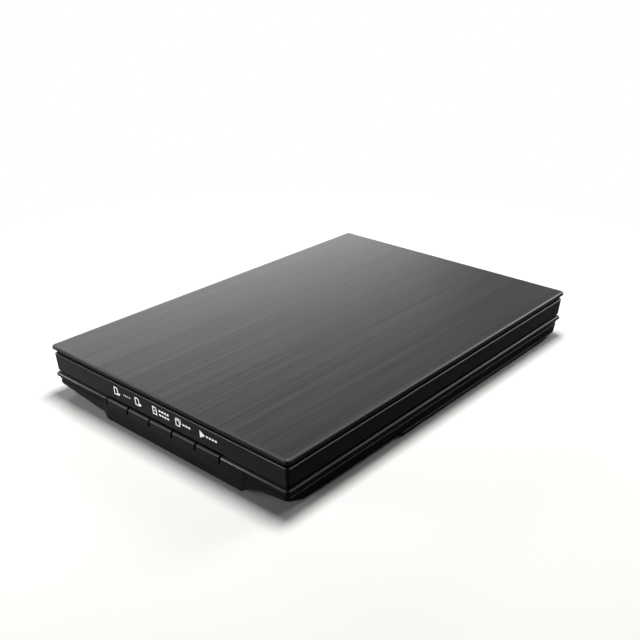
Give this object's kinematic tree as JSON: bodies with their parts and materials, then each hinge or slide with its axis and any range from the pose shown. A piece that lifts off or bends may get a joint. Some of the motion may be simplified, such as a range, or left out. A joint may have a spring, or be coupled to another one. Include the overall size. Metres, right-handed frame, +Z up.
{
  "type": "flatbed scanner",
  "caption": "Slim A4 flatbed scanner: brushed hinged lid over a glass platen, shallow dark case with front push buttons, geared scan carriage inside.",
  "frame": {"origin": "on the ground under the middle of the lid's outline", "axes": "+X to the right seen from the front, +Y from the front with the buttons to the rear hinges, +Z up"},
  "size_m": [0.25, 0.367, 0.042],
  "materials": {
    "brushed_lid": "brushed hairlines from front to back",
    "lid_underside": "fine matt texture",
    "satin_case": "satin",
    "matte_case": "fine matt texture",
    "button_plastic": "satin",
    "glass": "clear float glass",
    "clear_acrylic": "clear",
    "white_sheet": "white film",
    "foam": "open foam",
    "steel": "plated",
    "nylon": "natural",
    "brass": "turned",
    "circuit_board": "solder mask",
    "chip_resin": "moulded resin",
    "rubber": "matt",
    "flat_cable": "polyester film",
    "inner_plastic": "plain moulded"
  },
  "bodies": {
    "base": {"lower_case": "matte_case", "upper_case": "satin_case", "platen_glass": "glass", "calibration_strip": "white_sheet", "guide_shaft": "steel", "shaft_clip_front": "inner_plastic", "shaft_clip_rear": "inner_plastic", "drive_rack": "nylon", "main_board": "circuit_board", "processor_chip": "chip_resin", "cable_socket": "nylon", "usb_socket": "steel", "board_screw_1": "steel", "board_screw_2": "steel", "button_board": "circuit_board", "key_mat": "rubber", "button_cable": "flat_cable", "flat_cable_fixed": "flat_cable", "flat_cable_moving": "flat_cable", "cable_clamp": "inner_plastic", "case_screw_1": "steel", "case_screw_2": "steel", "case_screw_3": "steel", "case_screw_4": "steel", "rubber_foot_1": "rubber", "rubber_foot_2": "rubber", "rubber_foot_3": "rubber", "rubber_foot_4": "rubber"},
    "carriage": {"carriage_frame": "inner_plastic", "shaft_bush_front": "brass", "shaft_bush_rear": "brass", "motor": "steel", "gear_axle": "steel", "sensor_spring_left": "steel", "sensor_spring_right": "steel", "carriage_socket": "nylon"},
    "sensor_bar": {"sensor_housing": "inner_plastic", "sensor_window": "glass", "lens_array": "chip_resin", "light_guide": "clear_acrylic", "sensor_board": "circuit_board", "glide_shoe_left": "nylon", "glide_shoe_right": "nylon"},
    "geared_wheel": {"reduction_gear": "nylon"},
    "motor_rotor": {"motor_shaft": "steel", "motor_pinion": "brass"},
    "hinge_posts": {"hinge_post_left": "lid_underside", "hinge_post_right": "lid_underside"},
    "lid": {"lid_panel": "brushed_lid", "lid_frame": "lid_underside", "foam_pad": "foam", "backing_sheet": "white_sheet", "hinge_pin_left": "steel", "hinge_pin_right": "steel"},
    "button_1_key": {"button_1": "button_plastic"},
    "button_2_key": {"button_2": "button_plastic"},
    "button_3_key": {"button_3": "button_plastic"},
    "button_4_key": {"button_4": "button_plastic"},
    "button_5_key": {"button_5": "button_plastic"}
  },
  "joints": [
    {"name": "carriage_slide", "type": "slide", "parent": "base", "child": "carriage", "axis": [0, -1, 0], "range_m": [0, 0.3032], "deforming": ["flat_cable_moving"]},
    {"name": "gear_spin", "type": "hinge", "parent": "carriage", "child": "geared_wheel", "pos_m": [0.039, 0.1502, 0.0082], "axis": [0, 0, 1], "continuous": true},
    {"name": "motor_spin", "type": "hinge", "parent": "carriage", "child": "motor_rotor", "pos_m": [0.0234, 0.1502, 0.0082], "axis": [0, 0, 1], "continuous": true},
    {"name": "sensor_float", "type": "slide", "parent": "carriage", "child": "sensor_bar", "axis": [0, 0, 1], "range_m": [-0.0008, 0], "stiffness_N_per_m": 400, "springref_m": 0.006, "deforming": ["sensor_spring_left", "sensor_spring_right"]},
    {"name": "lid_lift", "type": "slide", "parent": "base", "child": "hinge_posts", "axis": [0, 0, 1], "range_m": [0, 0.014]},
    {"name": "lid_hinge", "type": "hinge", "parent": "hinge_posts", "child": "lid", "pos_m": [0, 0.18, 0.039], "axis": [-1, 0, 0], "range_deg": [0, 95]},
    {"name": "button_1_press", "type": "slide", "parent": "base", "child": "button_1_key", "axis": [0, 1, 0], "range_m": [0, 0.0008], "stiffness_N_per_m": 600, "springref_m": -0.0008},
    {"name": "button_2_press", "type": "slide", "parent": "base", "child": "button_2_key", "axis": [0, 1, 0], "range_m": [0, 0.0008], "stiffness_N_per_m": 600, "springref_m": -0.0008},
    {"name": "button_3_press", "type": "slide", "parent": "base", "child": "button_3_key", "axis": [0, 1, 0], "range_m": [0, 0.0008], "stiffness_N_per_m": 600, "springref_m": -0.0008},
    {"name": "button_4_press", "type": "slide", "parent": "base", "child": "button_4_key", "axis": [0, 1, 0], "range_m": [0, 0.0008], "stiffness_N_per_m": 600, "springref_m": -0.0008},
    {"name": "button_5_press", "type": "slide", "parent": "base", "child": "button_5_key", "axis": [0, 1, 0], "range_m": [0, 0.0008], "stiffness_N_per_m": 600, "springref_m": -0.0008}
  ],
  "couplings": [
    {"joint": "gear_spin", "follows": "carriage_slide", "rad_per_m": 166.67},
    {"joint": "motor_spin", "follows": "carriage_slide", "rad_per_m": -555.56}
  ]
}
